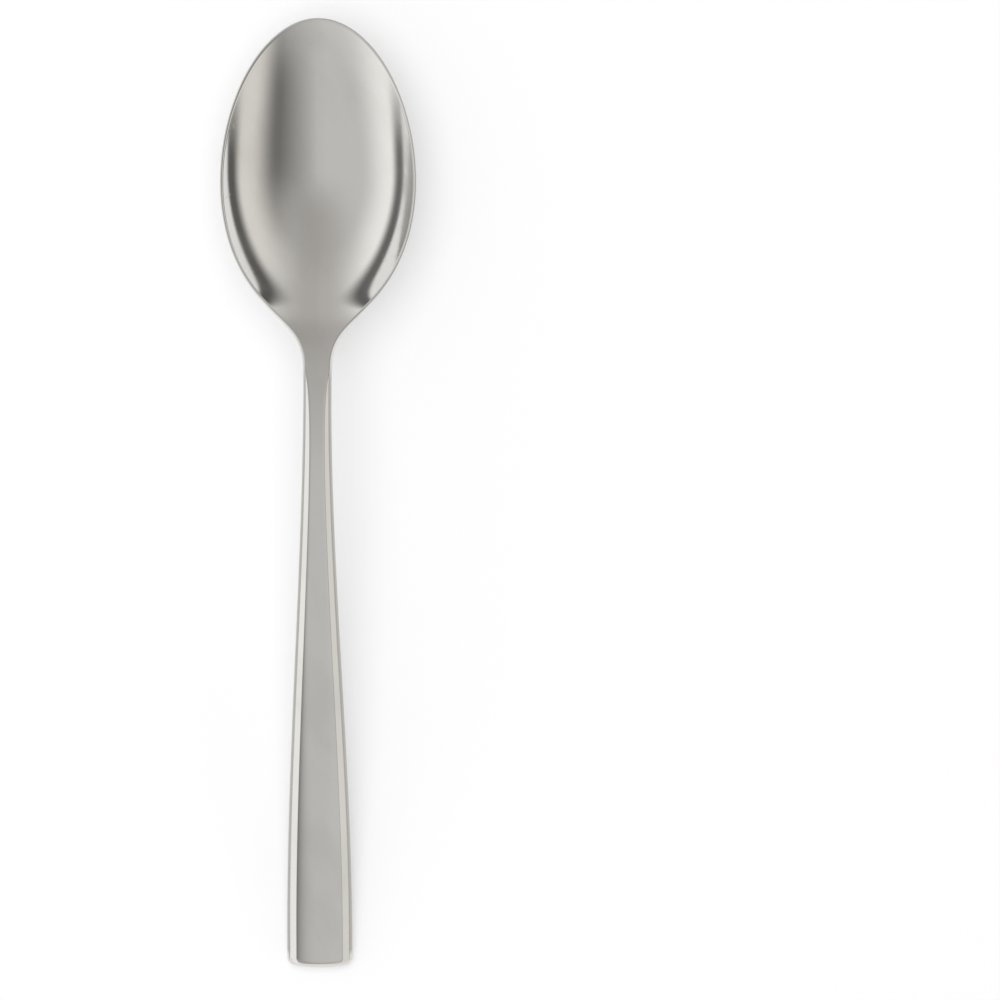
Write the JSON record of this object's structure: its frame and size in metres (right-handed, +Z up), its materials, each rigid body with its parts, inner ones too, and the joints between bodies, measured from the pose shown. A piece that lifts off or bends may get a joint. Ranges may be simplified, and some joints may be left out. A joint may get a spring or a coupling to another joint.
{
  "type": "teaspoon",
  "caption": "Polished steel teaspoon with an egg-shaped bowl, slim neck and tapering square-ended handle with a shallow channel between bevelled borders; scoops, stirs and measures.",
  "frame": {"origin": "on the table, under the middle of the spoon's length and width, with the spoon lying on its back", "axes": "+X to the right, +Y along the spoon from the handle's end to the bowl's tip, +Z up out of the table, the way the hollow faces"},
  "size_m": [0.0288, 0.14, 0.0142],
  "materials": {
    "steel": "polished"
  },
  "bodies": {
    "root": {"bowl": "steel", "neck": "steel", "handle": "steel"}
  },
  "joints": []
}
